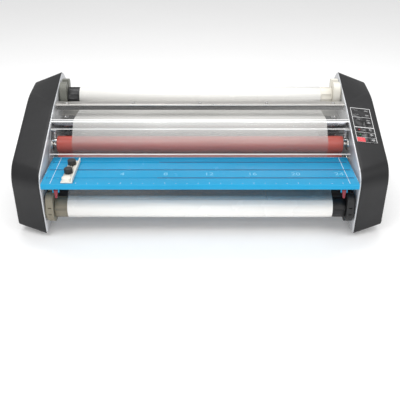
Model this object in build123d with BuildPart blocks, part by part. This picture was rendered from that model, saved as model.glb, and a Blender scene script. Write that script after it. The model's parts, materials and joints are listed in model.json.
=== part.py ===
"""Desktop roll laminator, 27-inch class, threaded with film from an upper and a lower supply roll.

Millimetres. X runs along the rollers to the operator's right, Y runs from the feed side to the rear
and Z is up. The origin is on the table, under the middle of the machine. Every profile across the
rollers is drawn in the YZ plane as (depth, height).
"""

import os
from math import acos, cos, hypot, pi, radians, sin, tan

from build123d import *

os.makedirs("parts", exist_ok=True)

# ---- driving dimensions ----

sleeve_half = 355.5  # half length of the heat rollers' silicone sleeves: 28 in rollers
film_half = 317.5  # half width of the film: 25 in
frame_inner = 371.0  # inner face of each side frame, from the middle
frame_outer = 374.0
cover_outer = 447.0
cover_wall = 3.0
frame_inset = 2.0  # side frame's edge, inside the cover's edge
run_fit = 0.05  # radial clearance of a shaft in its hole
gap = 0.3  # clearance between pieces that move past each other

# Side cover: corners of the profile at the side frame, then at the outer face, from the bottom front.
cover_inner_profile = [(-206.5, 10), (260, 10), (260, 228), (152, 315), (0, 265.4), (-235.5, 170)]
cover_inner_radii = [8, 10, 30, 30, 400, 40]
cover_outer_profile = [(-179.5, 20), (220, 20), (222, 225), (150, 287), (55, 277), (-201, 173.2)]
cover_outer_radii = [8, 8, 30, 25, 200, 50]
cover_shoulder = 442.0  # where the side wall turns in to the flat outer face
cover_edge = 5.0

# Roller axes as (depth, height), and radii.
nip_height = 167.0
heat_depth = -63.3
heat_radius = 20.6
heat_spread = 21.0  # from the nip to each heat roller's axis
upper_heat_axis = (heat_depth, nip_height + heat_spread)
lower_heat_axis = (heat_depth, nip_height - heat_spread)
pull_depth = 110.0
pull_radius = 18.85
pull_spread = 19.25
upper_pull_axis = (pull_depth, nip_height + pull_spread)
lower_pull_axis = (pull_depth, nip_height - pull_spread)
journal_radius = 9.0
upper_idler_axis = (-32.7, 230.6)
lower_idler_axis = (-113.7, 127.4)
idler_radius = 11.0
idler_journal = 5.0
upper_supply_axis = (98.4, 260.0)
lower_supply_axis = (-182.0, 73.0)
supply_radius = 26.0
core_radius = 12.7
plug_radius = 25.0
stub_radius = 8.0
hinge_axis = (21.0, 256.5)
hinge_rod_radius = 3.0

# Drive at the left-hand end.
gear_module = 1.75
heat_teeth = 24
pull_teeth = 22
gear_span = (-391.0, -379.0)
belt_span = (-405.0, -395.0)
heat_pulley = 16.0
pull_pulley = 14.7
motor_pulley_radius = 8.0
motor_axis = (25.0, 70.0)
belt_thick = 1.6

# Film, drawn thicker than it is so that it holds together as a solid.
film_thick = 0.3
film_gap = 0.25

# Feed tray and edge guide.
tray_half = 363.0
tray_front = -260.0
tray_rear = -98.0
tray_thick = 13.5
tray_bottom = nip_height - tray_thick
groove_depths = (-222.0, -130.0)
guide_x = (-318.0, -293.0)
guide_y = (-253.0, -126.0)
guide_floor = nip_height + gap
guide_top = guide_floor + 2.5
knob_depths = {"front_guide_knob": -200.0, "rear_guide_knob": -150.0}
knob_x = -308.0
latch_x = 330.0
latch_pivot = (-251.0, 147.0)

# Control panel on the right-hand cover, in the panel's own plane.
panel_centre = (406.0, -59.0)
panel_size = (52.0, 127.0)
panel_pocket = 1.0
panel_proud = 0.3
key_column = 14.0
key_rows = {"upper_key": 9.0, "heat_key": -18.5, "run_key": -36.5, "reverse_key": -54.5}
key_size = (15.0, 12.0)
stop_key_size = (20.0, 14.0)
stop_key_place = (-14.5, -54.5)
key_travel = 1.2
board_depth = 12.0  # control board below the panel's face


# ---- shared helpers: each adds to, or cuts from, the part being built ----


def bar(radius, x_from, x_to, axis, mode=Mode.ADD):
    """A round bar along X."""
    with BuildSketch(Plane.YZ.offset(x_from)) as section:
        with Locations(axis):
            Circle(radius)
    extrude(section.sketch, amount=x_to - x_from, mode=mode)


def block(x, y, z, mode=Mode.ADD):
    """A box from its low and high values."""
    with BuildSketch(Plane.XY.offset(z[0])) as section:
        with Locations(((x[0] + x[1]) / 2, (y[0] + y[1]) / 2)):
            Rectangle(x[1] - x[0], y[1] - y[0])
    extrude(section.sketch, amount=z[1] - z[0], mode=mode)


def profile(points, radii, x_from, x_to, mode=Mode.ADD):
    """A closed outline in depth and height, extruded along X."""
    with BuildSketch(Plane.YZ.offset(x_from)) as section:
        with BuildLine():
            FilletPolyline(*points, radius=radii, close=True)
        make_face()
    extrude(section.sketch, amount=x_to - x_from, mode=mode)


def bent_strip(path, radius, thick, x_from, x_to):
    """A sheet folded along X, following an open path in depth and height."""
    with BuildSketch(Plane.YZ.offset(x_from)) as section:
        with BuildLine() as line:
            FilletPolyline(*path, radius=radius)
        trace(line.edges(), line_width=thick)
    extrude(section.sketch, amount=x_to - x_from)


def post(radius, x, y, z_from, z_to, mode=Mode.ADD):
    """A round post along Z."""
    with BuildSketch(Plane.XY.offset(z_from)) as section:
        with Locations((x, y)):
            Circle(radius)
    extrude(section.sketch, amount=z_to - z_from, mode=mode)


def save(builder, name):
    builder.part.label = name
    export_step(builder.part, f"parts/{name}.step")


def spans(side, low, high):
    """The X span (low, high) on the right, or its mirror image on the left."""
    return (low, high) if side > 0 else (-high, -low)


sides = {"left": -1, "right": 1}

# ---- side frames: steel plates that carry every roller ----

roller_bearings = [upper_heat_axis, lower_heat_axis, upper_pull_axis, lower_pull_axis]
bush_radius = 13.0
ledge_depths = (-205.0, -112.0)
ledge_reach = 19.0
ledge_thick = 3.0
ledge_top = tray_bottom - gap


def side_frame(side):
    x_from, x_to = spans(side, frame_inner, frame_outer)
    with BuildPart() as plate:
        with BuildSketch(Plane.YZ.offset(x_from)) as section:
            with BuildLine():
                FilletPolyline(*cover_inner_profile, radius=cover_inner_radii, close=True)
            make_face()
            offset(amount=-frame_inset)
            with Locations(*roller_bearings):
                Circle(bush_radius, mode=Mode.SUBTRACT)
            with Locations(upper_idler_axis, lower_idler_axis):
                Circle(idler_journal + run_fit, mode=Mode.SUBTRACT)
            if side < 0:
                with Locations(motor_axis):
                    Circle(journal_radius, mode=Mode.SUBTRACT)
        extrude(section.sketch, amount=x_to - x_from)
        # A folded ledge under each end of the feed tray.
        block(spans(side, frame_inner - ledge_reach, frame_inner), ledge_depths,
              (ledge_top - ledge_thick, ledge_top))
    return plate


for side_name, side in sides.items():
    save(side_frame(side), f"{side_name}_side_frame")

# ---- side covers: moulded shells, open towards the side frames ----

right_wall = [Vector(frame_outer, *cover_inner_profile[i]) for i in (5, 4)]
nose_in, crest_in = right_wall
crest_out = Vector(cover_outer, *cover_outer_profile[4])
uphill = (crest_in - nose_in).normalized()
face_normal = (crest_out - crest_in).cross(uphill).normalized()
rise = (face_normal.X * (panel_centre[0] - frame_outer)
        + face_normal.Y * (panel_centre[1] - crest_in.Y)) / face_normal.Z
panel_plane = Plane(
    origin=(panel_centre[0], panel_centre[1], crest_in.Z - rise),
    x_dir=uphill.cross(face_normal),
    z_dir=face_normal,
)

screw_places = [(-150, 70), (190, 60), (140, 240)]
screw_head = 4.2
screw_shank = 2.2
screw_seat = 1.5


def cover_section(x, points, radii, inset):
    """One cross-section of a cover's loft, shrunk by inset."""
    with BuildSketch(Plane.YZ.offset(x)) as section:
        with BuildLine():
            FilletPolyline(*points, radius=radii, close=True)
        make_face()
        if inset:
            offset(amount=-inset)
    return section.sketch


def cover_block(side, wall, mode=Mode.ADD):
    """The lofted form of a cover, or, with a wall, the form of its inside."""
    sections = [
        cover_section(side * frame_outer, cover_inner_profile, cover_inner_radii, wall),
        cover_section(side * (cover_shoulder - wall / 2), cover_outer_profile, cover_outer_radii, wall),
        cover_section(side * (cover_outer - wall), cover_outer_profile, cover_outer_radii,
                      wall + cover_edge),
    ]
    loft(sections, ruled=True, mode=mode)


def panel_slot(size, place, low, high, mode=Mode.SUBTRACT):
    """A box square to the control panel's face."""
    with BuildSketch(panel_plane.offset(low)) as section:
        with Locations(place):
            Rectangle(*size)
    extrude(section.sketch, amount=high - low, mode=mode)


key_places = {name: (key_column, y) for name, y in key_rows.items()}
key_places["stop_key"] = stop_key_place


def key_dims(name):
    return stop_key_size if name == "stop_key" else key_size


def grown(size, by):
    return (size[0] + 2 * by, size[1] + 2 * by)


for side_name, side in sides.items():
    with BuildPart() as cover:
        cover_block(side, 0)
        cover_block(side, cover_wall, Mode.SUBTRACT)
        for place in screw_places:
            bar(screw_shank, *spans(side, cover_outer - 6, cover_outer + 1), place, Mode.SUBTRACT)
            bar(screw_head, *spans(side, cover_outer - screw_seat, cover_outer + 1), place,
                Mode.SUBTRACT)
        if side > 0:
            panel_slot(panel_size, (0, 0), -panel_pocket, 4)
            for key, place in key_places.items():
                panel_slot(grown(key_dims(key), gap), place, -8, 4)
    save(cover, f"{side_name}_side_cover")

with BuildPart() as cover_screws:
    for side in sides.values():
        for place in screw_places:
            bar(screw_shank, *spans(side, cover_outer - 12, cover_outer - screw_seat), place)
            bar(screw_head, *spans(side, cover_outer - screw_seat, cover_outer - 0.2), place)
            with BuildSketch(Plane.YZ.offset(side * (cover_outer - 1.2))) as socket:
                with Locations(place):
                    RegularPolygon(1.8, 6)
            extrude(socket.sketch, amount=side * 2, mode=Mode.SUBTRACT)
save(cover_screws, "cover_screws")

foot_x = 390.0
foot_depths = (-165.0, 205.0)
foot_radius = 12.0

with BuildPart() as rubber_feet:
    for side in sides.values():
        for depth in foot_depths:
            post(foot_radius, side * foot_x, depth, 0, 16)
    chamfer(rubber_feet.edges().filter_by(GeomType.CIRCLE).group_by(Axis.Z)[0], length=1)
    for side in sides.values():
        cover_block(side, 0, Mode.SUBTRACT)
save(rubber_feet, "rubber_feet")

# ---- cross pieces between the side frames ----

pan_top = 14.0
pan_bottom = 12.0
member_depths = (-98.0, -92.0)
rear_panel_depths = (243.0, 245.0)
rear_panel_top = 150.0
inlet_place = (300.0, 62.0)
inlet_body = (28.0, 24.0)
rocker_place = (262.0, 62.0)
rocker_body = (15.0, 21.0)

with BuildPart() as base_pan:
    block((-frame_inner, frame_inner), (member_depths[1], rear_panel_depths[0]), (pan_bottom, pan_top))
    for y in range(0, 220, 24):
        for x in (-200, -120, 120, 200):
            with BuildSketch(Plane.XY.offset(pan_bottom)) as vent:
                with Locations((x, y - 60)):
                    SlotOverall(50, 6)
            extrude(vent.sketch, amount=pan_top - pan_bottom, mode=Mode.SUBTRACT)
save(base_pan, "base_pan")

with BuildPart() as front_cross_member:
    block((-frame_inner, frame_inner), member_depths, (pan_bottom, 105))
    fillet(front_cross_member.edges().filter_by(Axis.X).group_by(Axis.Z)[-1], radius=2.5)
save(front_cross_member, "front_cross_member")

with BuildPart() as rear_panel:
    block((-frame_inner, frame_inner), rear_panel_depths, (pan_bottom, rear_panel_top))
    for place, size in ((inlet_place, inlet_body), (rocker_place, rocker_body)):
        with BuildSketch(Plane.XZ.offset(-rear_panel_depths[1])) as cut_out:
            with Locations(place):
                Rectangle(*size)
        extrude(cut_out.sketch, amount=4, both=True, mode=Mode.SUBTRACT)
    for x in range(-260, 181, 20):
        with BuildSketch(Plane.XZ.offset(-rear_panel_depths[1])) as louvre:
            with Locations((x, 60)):
                SlotOverall(50, 5, rotation=90)
        extrude(louvre.sketch, amount=4, both=True, mode=Mode.SUBTRACT)
save(rear_panel, "rear_panel")

guard_path = [(84, 212), (150, 212), (248, 178)]
with BuildPart() as pull_roller_guard:
    bent_strip(guard_path, 12, 2, -frame_inner, frame_inner)
save(pull_roller_guard, "pull_roller_guard")

with BuildPart() as tie_bars:
    for axis in ((-10, 112), (205, 100)):
        bar(6, -frame_inner, frame_inner, axis)
    bar(hinge_rod_radius, -frame_inner, frame_inner, hinge_axis)
save(tie_bars, "tie_bars")

# ---- bushes and pressure springs ----

flange_radius = 16.0
flange_thick = 4.0
spring_rise = 22.0
spring_mean = 4.5
spring_wire = 0.8
spring_x = 362.0
spring_seat = upper_heat_axis[1] + flange_radius

with BuildPart() as roller_bushes:
    for side in sides.values():
        for axis in roller_bearings:
            bar(bush_radius, *spans(side, frame_inner, frame_outer), axis)
            bar(flange_radius, *spans(side, frame_inner - flange_thick, frame_inner), axis)
        # The upper heat roller's bush has a flat lug on top for its pressure spring.
        block(spans(side, frame_inner - 15, frame_inner), (heat_depth - 8, heat_depth + 8),
              (upper_heat_axis[1] + 10, spring_seat))
        for axis in roller_bearings:
            bar(journal_radius + run_fit, *spans(side, frame_inner - 16, frame_outer + 1), axis,
                Mode.SUBTRACT)
save(roller_bushes, "roller_bushes")

with BuildPart() as pressure_springs:
    for side in sides.values():
        centre = (side * spring_x, heat_depth, spring_seat + spring_wire)
        with BuildLine(Plane(origin=centre)) as coil:
            Helix(pitch=spring_rise / 7, height=spring_rise - 2 * spring_wire, radius=spring_mean)
        with BuildSketch(Plane(origin=coil.line @ 0, z_dir=coil.line % 0)) as wire:
            Circle(spring_wire)
        sweep(wire.sketch, path=coil.line)
        # A cap fixed to the side frame holds the spring down.
        cap_base = spring_seat + spring_rise
        block(spans(side, frame_inner - 15, frame_inner), (heat_depth - 8, heat_depth + 8),
              (cap_base, cap_base + 2))
save(pressure_springs, "pressure_springs")

# ---- heat rollers: silicone sleeves on hollow steel cores, with a heater lamp inside each ----

sleeve_inner = 18.6
core_bore = 14.0
journal_bore = 6.0
core_half = 352.0
right_journal_end = 381.0
lamp_radius = 4.0


def heat_core(axis, left_end):
    with BuildPart() as core:
        bar(sleeve_inner, -sleeve_half, sleeve_half, axis)
        bar(journal_radius, left_end, right_journal_end, axis)
        bar(core_bore, -core_half + 8, core_half - 8, axis, Mode.SUBTRACT)
        bar(journal_bore, left_end - 1, right_journal_end + 1, axis, Mode.SUBTRACT)
    return core


def heat_sleeve(axis):
    with BuildPart() as sleeve:
        bar(heat_radius, -sleeve_half, sleeve_half, axis)
        bar(sleeve_inner, -sleeve_half - 1, sleeve_half + 1, axis, Mode.SUBTRACT)
    return sleeve


def gear_outline(teeth, turn):
    """Corners of an involute spur gear: four on each flank, its tooth thinned for backlash."""
    pitch = teeth * gear_module / 2
    pressure = radians(20)
    base = pitch * cos(pressure)
    tip = pitch + 0.9 * gear_module
    root = pitch - 1.25 * gear_module
    half = pi / (2 * teeth) - 0.175 / pitch
    flank = [base + (tip - base) * i / 3 for i in range(4)]

    def half_angle(radius):
        at = acos(base / radius)
        return half + (tan(pressure) - pressure) - (tan(at) - at)

    points = []
    for tooth in range(teeth):
        middle = radians(turn) + 2 * pi * tooth / teeth
        rising = [(root, -half_angle(base) - 0.01)] + [(r, -half_angle(r)) for r in flank]
        falling = [(r, -angle) for r, angle in reversed(rising)]
        points += [(r * cos(middle + angle), r * sin(middle + angle)) for r, angle in rising + falling]
    return points


def gear(teeth, turn, axis):
    """A spur gear at the drive end, in the part being built."""
    with BuildSketch(Plane.YZ.offset(gear_span[0])) as section:
        with Locations(axis):
            Polygon(*gear_outline(teeth, turn), align=None)
    extrude(section.sketch, amount=gear_span[1] - gear_span[0])


def pulley(radius, axis, flange):
    """A flat belt pulley with a thin flange on each side of the belt."""
    bar(radius, *belt_span, axis)
    bar(radius + flange, belt_span[0] - 1.2, belt_span[0], axis)
    bar(radius + flange, belt_span[1], belt_span[1] + 1.2, axis)


lower_journal_left = belt_span[0] - 3
upper_journal_left = gear_span[0] - 2
tooth_pitch = {"heat": 360 / heat_teeth, "pull": 360 / pull_teeth}

save(heat_core(upper_heat_axis, upper_journal_left), "upper_heat_roller_core")
save(heat_core(lower_heat_axis, lower_journal_left), "lower_heat_roller_core")
save(heat_sleeve(upper_heat_axis), "upper_heat_roller_sleeve")
save(heat_sleeve(lower_heat_axis), "lower_heat_roller_sleeve")

with BuildPart() as upper_heat_gear:
    gear(heat_teeth, 270 + tooth_pitch["heat"] / 2, upper_heat_axis)
    bar(journal_radius, gear_span[0] - 1, gear_span[1] + 1, upper_heat_axis, Mode.SUBTRACT)
save(upper_heat_gear, "upper_heat_gear")

with BuildPart() as lower_heat_gear:
    gear(heat_teeth, 90, lower_heat_axis)
    bar(12, belt_span[1], gear_span[0], lower_heat_axis)
    pulley(heat_pulley, lower_heat_axis, 2.2)
    bar(journal_radius, belt_span[0] - 2, gear_span[1] + 1, lower_heat_axis, Mode.SUBTRACT)
save(lower_heat_gear, "lower_heat_gear")

with BuildPart() as heater_lamps:
    for axis, left_end in ((upper_heat_axis, -404), (lower_heat_axis, -414)):
        bar(lamp_radius, left_end, 390, axis)
    # Sheet clips on the side frames hold the lamps' ends clear of the turning journals.
    for side, reach in ((-1, 412), (1, 387)):
        clip = spans(side, reach, reach + 2)
        block(clip, (heat_depth - 7, heat_depth + 7), (112, 216))
        for z in (112, 213):
            block(spans(side, frame_outer, reach), (heat_depth - 7, heat_depth + 7), (z, z + 3))
    bar(lamp_radius, -412, -404, upper_heat_axis)
save(heater_lamps, "heater_lamps")

# ---- pull rollers behind the heat rollers ----


def pull_roller(axis, left_end, turn):
    with BuildPart() as roller:
        bar(pull_radius, -sleeve_half, sleeve_half, axis)
        bar(journal_radius, left_end, right_journal_end, axis)
        gear(pull_teeth, turn, axis)
        if left_end == lower_journal_left:
            pulley(pull_pulley, axis, 2.2)
    return roller


save(pull_roller(upper_pull_axis, upper_journal_left, 270 + tooth_pitch["pull"] / 2),
     "upper_pull_roller")
save(pull_roller(lower_pull_axis, lower_journal_left, 90), "lower_pull_roller")

# ---- drive motor and belt ----

motor_shaft = 4.0
motor_length = 92.0

with BuildPart() as drive_motor:
    block((-frame_inner, -frame_inner + 34), (motor_axis[0] - 30, motor_axis[0] + 30),
          (motor_axis[1] - 30, motor_axis[1] + 30))
    fillet(drive_motor.edges().filter_by(Axis.X), radius=6)
    bar(27, -frame_inner + 34, -frame_inner + motor_length, motor_axis)
    bar(8, -frame_inner + motor_length, -frame_inner + motor_length + 6, motor_axis)
    bar(motor_shaft, belt_span[0] - 2, -frame_inner, motor_axis)
    # Feet of the gearbox stand on the base pan.
    for y in (motor_axis[0] - 28, motor_axis[0] + 16):
        block((-frame_inner + 2, -frame_inner + 32), (y, y + 12), (pan_top, motor_axis[1] - 30))
save(drive_motor, "drive_motor")

with BuildPart() as motor_pulley:
    pulley(motor_pulley_radius, motor_axis, 2.2)
    bar(6, belt_span[1] + 1.2, belt_span[1] + 8, motor_axis)
    bar(motor_shaft + run_fit, belt_span[0] - 3, belt_span[1] + 9, motor_axis, Mode.SUBTRACT)
save(motor_pulley, "motor_pulley")

belt_wheels = [(lower_heat_axis, heat_pulley), (lower_pull_axis, pull_pulley),
               (motor_axis, motor_pulley_radius)]


def belt_loop(extra, mode):
    """The hull of the three wheels, each grown by extra."""
    with BuildSketch(Plane.YZ.offset(belt_span[0] + gap)) as loop:
        for axis, radius in belt_wheels:
            with Locations(axis):
                Circle(radius + extra)
        make_hull()
    extrude(loop.sketch, amount=belt_span[1] - belt_span[0] - 2 * gap, mode=mode)


with BuildPart() as drive_belt:
    belt_loop(gap + belt_thick, Mode.ADD)
    belt_loop(gap, Mode.SUBTRACT)
save(drive_belt, "drive_belt")

# ---- idler bars ----


def idler(axis):
    with BuildPart() as tube:
        bar(idler_radius, -frame_inner + 5, frame_inner - 5, axis)
        chamfer(tube.edges().filter_by(GeomType.CIRCLE), length=1)
        bar(idler_journal, -frame_outer - 2, frame_outer + 2, axis)
    return tube


save(idler(upper_idler_axis), "upper_idler")
save(idler(lower_idler_axis), "lower_idler")

# ---- supply rolls, their core plugs and the brackets that carry them ----

plug_reach = 348.5
spigot_length = 40.0
plug_rim = 2.5
rib_count = 5
rib_turn = 163.0  # where the first hollow between the plug's ribs faces
hollow_wide = 11.0
hollow_deep = 3.0
bracket_span = (349.0, 366.0)
bracket_radius = 35.0
bracket_rise = 43.0
bracket_round = 16.0
boss_radius = 28.0  # the bracket's foot against the side frame
stub_end = 367.0
bracket_marks = (-5.0, 12.0)  # heights of the two slots in a lower bracket's front, from the axis


def core_plug(side, axis):
    """A ribbed plug that fits the film's core, with a stub that lies in the bracket's slot."""
    with BuildPart() as plug:
        bar(plug_radius, *spans(side, film_half, plug_reach), axis)
        chamfer(plug.edges().filter_by(GeomType.CIRCLE), length=1)
        hollow = spans(side, film_half + plug_rim, plug_reach - plug_rim)
        with BuildSketch(Plane.YZ.offset(hollow[0])) as hollows:
            with Locations(axis):
                with PolarLocations(plug_radius, rib_count, start_angle=rib_turn):
                    Rectangle(2 * hollow_deep, hollow_wide)
        extrude(hollows.sketch, amount=hollow[1] - hollow[0], mode=Mode.SUBTRACT)
        bar(core_radius, *spans(side, film_half - spigot_length, film_half), axis)
        bar(stub_radius, *spans(side, plug_reach, stub_end), axis)
    return plug


def roll_bracket(side, axis, marks):
    """A bracket open at the top, so that a roll can be lifted out, on a boss at the side frame."""
    slot_half = stub_radius + run_fit
    with BuildPart() as bracket:
        x_from, x_to = spans(side, *bracket_span)
        with BuildSketch(Plane.YZ.offset(x_from)) as section:
            with Locations(axis):
                Circle(bracket_radius)
            with Locations((axis[0], axis[1] + bracket_rise / 2)):
                RectangleRounded(2 * bracket_radius, bracket_rise, bracket_round)
            with Locations((axis[0], axis[1] + 10)):
                Rectangle(2 * bracket_radius, 20)
        extrude(section.sketch, amount=x_to - x_from)
        bar(boss_radius, *spans(side, bracket_span[1], frame_inner), axis)
        block(spans(side, bracket_span[0] - 1, stub_end + run_fit),
              (axis[0] - slot_half, axis[0] + slot_half), (axis[1], axis[1] + bracket_rise + 1),
              Mode.SUBTRACT)
        bar(slot_half, *spans(side, bracket_span[0] - 1, stub_end + run_fit), axis, Mode.SUBTRACT)
        for mark in marks:
            with BuildSketch(Plane.XZ.offset(-axis[0] + bracket_radius - 3)) as front:
                with Locations(((x_from + x_to) / 2, axis[1] + mark)):
                    SlotOverall(8, 3)
            extrude(front.sketch, amount=4, mode=Mode.SUBTRACT)
    return bracket


supply_levels = {"upper": (upper_supply_axis, ()), "lower": (lower_supply_axis, bracket_marks)}

for level, (axis, marks) in supply_levels.items():
    with BuildPart() as roll:
        bar(supply_radius, -film_half, film_half, axis)
        bar(core_radius, -film_half - 1, film_half + 1, axis, Mode.SUBTRACT)
    save(roll, f"{level}_film_roll")
    for side_name, side in sides.items():
        save(core_plug(side, axis), f"{level}_{side_name}_core_plug")
        save(roll_bracket(side, axis, marks), f"{level}_{side_name}_roll_bracket")

# ---- film threaded from the rolls, through the heated nip and out past the pull rollers ----


def tight_line(first, first_bend, second, second_bend):
    """Ends of a tight line between two circles. A bend is the circle's radius, negative where the
    circle is on the right of the line as it runs from the first circle to the second."""
    across = (second[0] - first[0], second[1] - first[1])
    length = hypot(*across)
    unit = (across[0] / length, across[1] / length)
    lean = (second_bend - first_bend) / length
    upright = (1 - lean * lean) ** 0.5
    normal = (unit[0] * lean - unit[1] * upright, unit[1] * lean + unit[0] * upright)
    ends = []
    for centre, bend in ((first, first_bend), (second, second_bend)):
        ends.append((centre[0] - bend * normal[0], centre[1] - bend * normal[1]))
    return ends


heat_wrap = heat_radius + film_gap + film_thick / 2
idler_wrap = idler_radius + film_gap + film_thick / 2
supply_wrap = supply_radius + film_gap + film_thick / 2
nip_stop = radians(12)  # the two webs stop this far round before the nip, where they bond


def wrap_point(axis, radius, angle):
    return (axis[0] + radius * cos(angle), axis[1] + radius * sin(angle))


def wrap_middle(axis, radius, start, end):
    """The point on a circle half way round between two others, along the shorter way."""
    middle = ((start[0] + end[0]) / 2 - axis[0], (start[1] + end[1]) / 2 - axis[1])
    scale = radius / hypot(*middle)
    return (axis[0] + middle[0] * scale, axis[1] + middle[1] * scale)


def web(edges):
    """A film along a path of straight lines and arcs, each given as two or three points."""
    with BuildSketch(Plane.YZ.offset(-film_half)) as section:
        with BuildLine() as path:
            for edge in edges:
                if len(edge) == 2:
                    Line(*edge)
                else:
                    ThreePointArc(*edge)
        trace(path.edges(), line_width=film_thick)
    extrude(section.sketch, amount=2 * film_half)


roll_off, idler_on = tight_line(upper_supply_axis, -supply_wrap, upper_idler_axis, idler_wrap)
idler_off, upper_on = tight_line(upper_idler_axis, idler_wrap, upper_heat_axis, heat_wrap)
upper_end = wrap_point(upper_heat_axis, heat_wrap, -pi / 2 - nip_stop)
with BuildPart() as upper_film_web:
    web([
        (roll_off, idler_on),
        (idler_on, wrap_middle(upper_idler_axis, idler_wrap, idler_on, idler_off), idler_off),
        (idler_off, upper_on),
        (upper_on, wrap_middle(upper_heat_axis, heat_wrap, upper_on, upper_end), upper_end),
    ])
save(upper_film_web, "upper_film_web")

lower_off, lower_on = tight_line(lower_supply_axis, -supply_wrap, lower_heat_axis, -heat_wrap)
lower_end = wrap_point(lower_heat_axis, heat_wrap, pi / 2 + nip_stop)
with BuildPart() as lower_film_web:
    web([
        (lower_off, lower_on),
        (lower_on, wrap_middle(lower_heat_axis, heat_wrap, lower_on, lower_end), lower_end),
    ])
save(lower_film_web, "lower_film_web")

with BuildPart() as laminated_film:
    block((-film_half, film_half), (heat_depth - 2, 256),
          (nip_height - film_thick / 2, nip_height + film_thick / 2))
save(laminated_film, "laminated_film")

# ---- safety shield ----

bar_rear = 28.0
bar_front = 4.0
bar_top = 270.0
shield_half = 368.0
shield_thick = 3.0
sheet_base = 262.0  # underside of the sheet where the bar grips it
sheet_rear = 24.0
shield_bends = [(-63, 252.5), (-74, 232), (-113, 181), (-119, 175.5)]
shield_bend_radii = [8, 6, 12, 3]
shield_screw_pitch = 170.0
shield_screw_depth = 13.0
shield_screw_places = [((i - 2) * shield_screw_pitch, shield_screw_depth) for i in range(5)]

with BuildPart() as shield_hinge_bar:
    # An extruded bar: a lip over the sheet, a slot for it, and a hollow rib for the hinge rod.
    sheet_top = sheet_base + shield_thick
    profile(
        [(bar_front, sheet_top + run_fit), (bar_front, bar_top), (bar_rear, bar_top),
         (bar_rear, 250.5), (15.5, 250.5), (15.5, 258), (8, 258), (8, sheet_base - run_fit),
         (sheet_rear + run_fit, sheet_base - run_fit), (sheet_rear + run_fit, sheet_top + run_fit)],
        [0.5, 1.2, 1.5, 1.5, 1.5, 0.5, 0.5, 0.3, 0, 0], -shield_half, shield_half)
    bar(hinge_rod_radius + run_fit, -shield_half - 1, shield_half + 1, hinge_axis, Mode.SUBTRACT)
    for x, y in shield_screw_places:
        post(screw_shank, x, y, 257, bar_top + 1, Mode.SUBTRACT)
save(shield_hinge_bar, "shield_hinge_bar")

with BuildPart() as safety_shield:
    # The sheet leaves the bar's slot, bends down over the idler and ends in a lip above the tray.
    gripped = [(y, sheet_base + shield_thick / 2) for y in (sheet_rear, 2)]
    bent_strip(gripped + shield_bends, shield_bend_radii, shield_thick, -shield_half, shield_half)
    for x, y in shield_screw_places:
        post(screw_shank, x, y, sheet_base - 1, bar_top, Mode.SUBTRACT)
save(safety_shield, "safety_shield")

with BuildPart() as shield_screws:
    for x, y in shield_screw_places:
        post(4, x, y, bar_top, bar_top + 2)
        post(screw_shank, x, y, 258, bar_top)
    with BuildSketch(Plane.XY.offset(bar_top + 1)) as cross_slots:
        with Locations(*shield_screw_places):
            Rectangle(4.6, 1)
            Rectangle(1, 4.6)
    extrude(cross_slots.sketch, amount=2, mode=Mode.SUBTRACT)
save(shield_screws, "shield_screws")

# ---- feed tray, its latches and the edge guide ----

tray_skin = 4.0
groove_half = 1.5
groove_drop = 2.2
latch_half = 5.5
lug_thick = 1.6
pin_radius = 2.0

with BuildPart() as feed_tray:
    block((-tray_half, tray_half), (tray_front, tray_rear), (tray_bottom, nip_height))
    fillet(feed_tray.edges().filter_by(Axis.X).group_by(Axis.Y)[0], radius=4)
    bay = (2 * tray_half - 7 * 3) / 6
    for i in range(6):
        x = -tray_half + 3 + i * (bay + 3)
        block((x, x + bay), (tray_front + 5, tray_rear - 3), (tray_bottom - 1, nip_height - tray_skin),
              Mode.SUBTRACT)
    for depth in groove_depths:
        block((-352, -100), (depth - groove_half, depth + groove_half),
              (nip_height - groove_drop, nip_height + 1), Mode.SUBTRACT)
    for side in sides.values():
        for lug in (-latch_half - gap - lug_thick, latch_half + gap):
            x = side * latch_x + lug
            block((x, x + lug_thick), (latch_pivot[0] - 3, latch_pivot[0] + 4),
                  (latch_pivot[1] - 3, nip_height - tray_skin + 0.5))
        bar(pin_radius, side * latch_x - latch_half - 1, side * latch_x + latch_half + 1, latch_pivot)
save(feed_tray, "feed_tray")

for side_name, side in sides.items():
    with BuildPart() as latch:
        x_from = side * latch_x - latch_half
        profile([(-254.5, 151.5), (-247.5, 151.5), (-247.5, 141), (-252, 131), (-257, 131), (-254.5, 141)],
                [3, 3, 4, 1.5, 1.5, 4], x_from, x_from + 2 * latch_half)
        # Its sides taper towards the finger tip.
        with BuildSketch(Plane.XZ.offset(270)) as front:
            with Locations((side * latch_x, 147)):
                Trapezoid(2 * latch_half + 6, 60, 82, rotation=180)
        extrude(front.sketch, amount=-40, mode=Mode.INTERSECT)
        bar(pin_radius + run_fit, x_from - 1, x_from + 2 * latch_half + 1, latch_pivot, Mode.SUBTRACT)
    save(latch, f"{side_name}_tray_latch")

fence_x = (-293.5, -291.0)
stop_depth = -242.0
stud_radius = 2.5

with BuildPart() as edge_guide:
    block(guide_x, guide_y, (guide_floor, guide_top))
    block(fence_x, guide_y, (guide_floor, guide_top + 8))
    for depth in groove_depths:
        block(guide_x, (depth - groove_half + gap, depth + groove_half - gap),
              (nip_height - groove_drop + gap, guide_floor))
    for depth in knob_depths.values():
        post(stud_radius + run_fit, knob_x, depth, guide_floor - 1, guide_top + 1, Mode.SUBTRACT)
    with BuildSketch(Plane.XY.offset(guide_top)) as pad:
        with Locations(((guide_x[0] + guide_x[1]) / 2, stop_depth)):
            SlotOverall(22, 18)
    extrude(pad.sketch, amount=9)
    fillet(edge_guide.faces().sort_by(Axis.Z)[-1].edges(), radius=3)
save(edge_guide, "edge_guide")

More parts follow.
